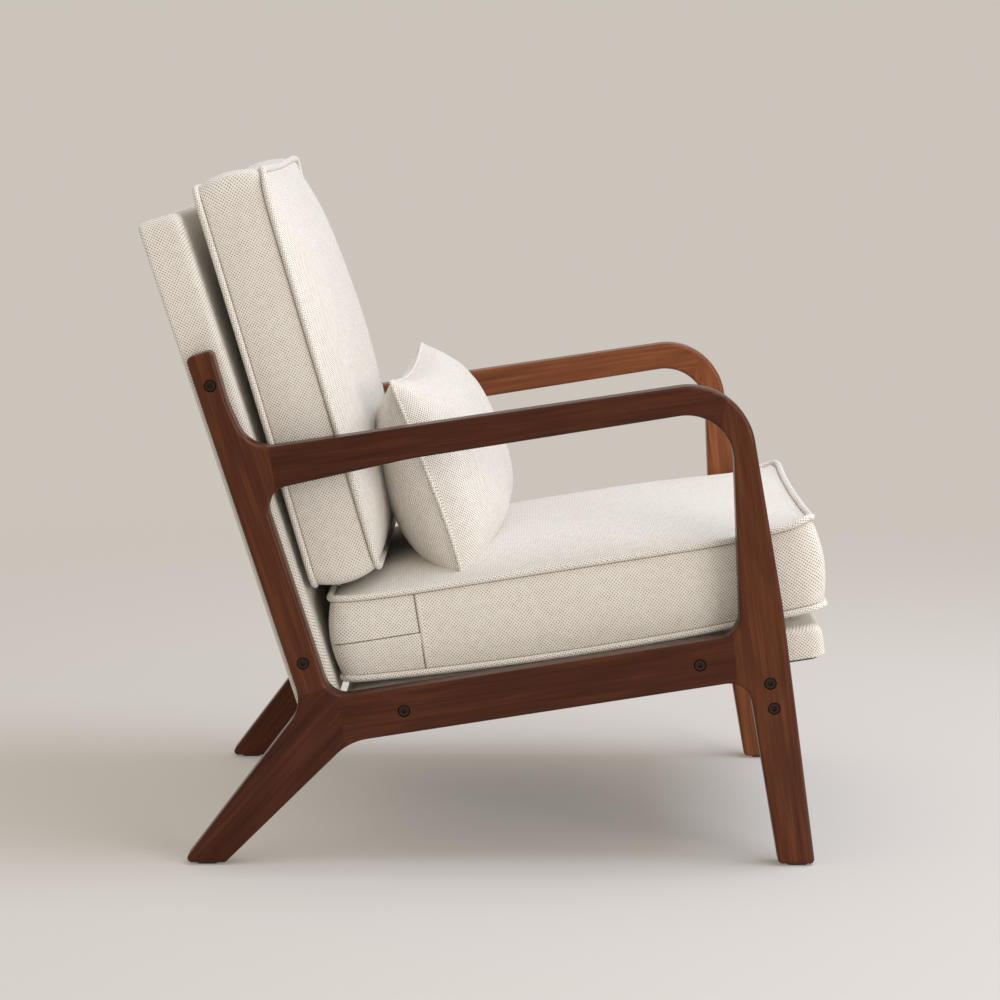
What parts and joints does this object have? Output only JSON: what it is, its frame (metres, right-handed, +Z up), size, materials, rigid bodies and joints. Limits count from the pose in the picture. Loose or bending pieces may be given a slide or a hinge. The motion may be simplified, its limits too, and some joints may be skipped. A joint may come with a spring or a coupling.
{
  "type": "accent chair",
  "caption": "Open-arm accent chair: sloping solid wood side frames bolted to an upholstered seat deck and back panel, with loose boxed cushions and a lumbar pillow.",
  "frame": {"origin": "on the floor at the centre of the chair's bounding box", "axes": "+X is the sitter's left, -Y is the way the chair faces, +Z is up"},
  "size_m": [0.67, 0.8412, 0.8532],
  "materials": {
    "walnut_stained_wood": "satin lacquer over a dark walnut stain",
    "unfinished_wood": "bare softwood and plywood",
    "dowel_wood": "bare beech dowels",
    "cream_basket_weave": "matt chunky basket weave",
    "foam_and_fibre": "open foam and polyester fibre",
    "elastic_webbing": "woven elastic strap",
    "black_dust_fabric": "thin black non-woven",
    "backing_board": "plain board",
    "black_steel": "black oxide",
    "zinc_steel": "zinc plated",
    "slider_metal": "nickel",
    "zip_plastic": "nylon coil",
    "glide_plastic": "black polythene"
  },
  "bodies": {
    "frame": {"armrest_right": "walnut_stained_wood", "armrest_left": "walnut_stained_wood", "front_post_right": "walnut_stained_wood", "front_post_left": "walnut_stained_wood", "side_rail_right": "walnut_stained_wood", "side_rail_left": "walnut_stained_wood", "rear_leg_right": "walnut_stained_wood", "rear_leg_left": "walnut_stained_wood", "rear_upright_right": "walnut_stained_wood", "rear_upright_left": "walnut_stained_wood", "frame_dowels_right": "dowel_wood", "frame_dowels_left": "dowel_wood", "foot_glides_right": "glide_plastic", "foot_glides_left": "glide_plastic", "back_panel_bolts": "black_steel", "seat_deck_bolts": "black_steel", "stretcher_bolts": "black_steel", "stretcher_barrel_nuts": "zinc_steel", "bolt_washers": "zinc_steel", "back_panel_inserts": "zinc_steel", "seat_deck_inserts": "zinc_steel", "front_stretcher": "unfinished_wood", "seat_deck_side_rail_right": "unfinished_wood", "seat_deck_side_rail_left": "unfinished_wood", "seat_deck_front_rail": "unfinished_wood", "seat_deck_rear_rail": "unfinished_wood", "seat_deck_corner_blocks": "unfinished_wood", "back_panel_stile_left": "unfinished_wood", "back_panel_stile_right": "unfinished_wood", "back_panel_top_rail": "unfinished_wood", "back_panel_bottom_rail": "unfinished_wood", "seat_deck_springs": "zinc_steel", "seat_spring_clips": "zinc_steel", "seat_deck_cover": "cream_basket_weave", "seat_deck_pad": "foam_and_fibre", "seat_dust_cover": "black_dust_fabric", "back_panel_webbing": "elastic_webbing", "back_panel_backing": "backing_board", "back_panel_cover": "cream_basket_weave", "back_panel_pad": "foam_and_fibre"},
    "seat_cushion": {"seat_cushion_cover": "cream_basket_weave", "seat_cushion_core": "foam_and_fibre", "seat_cushion_zip": "zip_plastic", "seat_cushion_bottom_welt": "cream_basket_weave", "seat_cushion_top_welt": "cream_basket_weave"},
    "back_cushion": {"back_cushion_cover": "cream_basket_weave", "back_cushion_core": "foam_and_fibre", "back_cushion_zip": "zip_plastic", "back_cushion_rear_welt": "cream_basket_weave", "back_cushion_front_welt": "cream_basket_weave"},
    "lumbar_pillow": {"lumbar_pillow_cover": "cream_basket_weave", "lumbar_pillow_fill": "foam_and_fibre", "lumbar_pillow_edge_cord": "cream_basket_weave"},
    "seat_zip_slider": {"seat_zip_slider": "slider_metal"},
    "back_zip_slider": {"back_zip_slider": "slider_metal"}
  },
  "joints": [
    {"name": "seat_cushion_lift", "type": "slide", "parent": "frame", "child": "seat_cushion", "axis": [0, 0.3065, 0.9519], "range_m": [0, 0.35]},
    {"name": "back_cushion_lift", "type": "slide", "parent": "seat_cushion", "child": "back_cushion", "axis": [0, 0.3065, 0.9519], "range_m": [0, 0.6]},
    {"name": "lumbar_pillow_lift", "type": "slide", "parent": "back_cushion", "child": "lumbar_pillow", "axis": [0, 0, 1], "range_m": [0, 0.45]},
    {"name": "seat_zip_slide", "type": "slide", "parent": "seat_cushion", "child": "seat_zip_slider", "axis": [1, 0, 0], "range_m": [0, 0.465]},
    {"name": "back_zip_slide", "type": "slide", "parent": "back_cushion", "child": "back_zip_slider", "axis": [-1, 0, 0], "range_m": [0, 0.465]}
  ]
}
